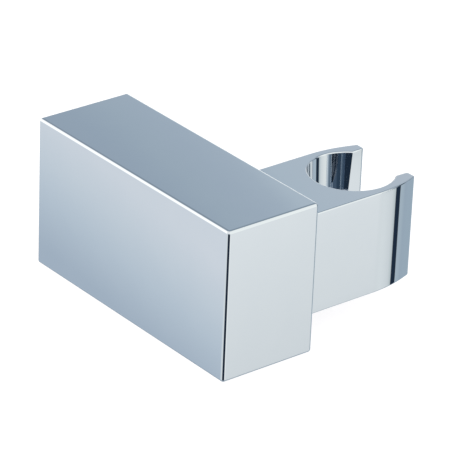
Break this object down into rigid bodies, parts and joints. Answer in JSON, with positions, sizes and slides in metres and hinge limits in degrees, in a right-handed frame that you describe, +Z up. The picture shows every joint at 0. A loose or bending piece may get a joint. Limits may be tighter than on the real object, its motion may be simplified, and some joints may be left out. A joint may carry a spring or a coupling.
{
  "type": "hand shower holder",
  "caption": "Rectangular wall block with a split, tapered cradle on its side that takes a shower hose's nut and turns to tilt the hand shower.",
  "frame": {"origin": "midway between the two wall screws, in the plane of the wall", "axes": "+Y into the wall, +Z up, +X along the cradle's pivot, from the block to the cradle"},
  "size_m": [0.0712, 0.0826, 0.044],
  "materials": {
    "chrome_plate": "polished",
    "plate_brass": "satin",
    "screw_steel": "satin",
    "spring_steel": "satin",
    "disc_plastic": "satin",
    "bush_plastic": "satin",
    "seal_rubber": "matte"
  },
  "bodies": {
    "block": {"block_housing": "chrome_plate", "wall_plate": "plate_brass", "clamp_screw": "screw_steel", "pivot_screw": "screw_steel", "pivot_seal": "seal_rubber", "thrust_washer": "screw_steel", "disc_spring_inner": "spring_steel", "disc_spring_outer": "spring_steel"},
    "cradle": {"cradle": "chrome_plate", "friction_disc": "disc_plastic", "cradle_bush": "bush_plastic"}
  },
  "joints": [
    {"name": "cradle_tilt", "type": "hinge", "parent": "block", "child": "cradle", "pos_m": [0.015, -0.0616, 0], "axis": [1, 0, 0], "continuous": true}
  ]
}
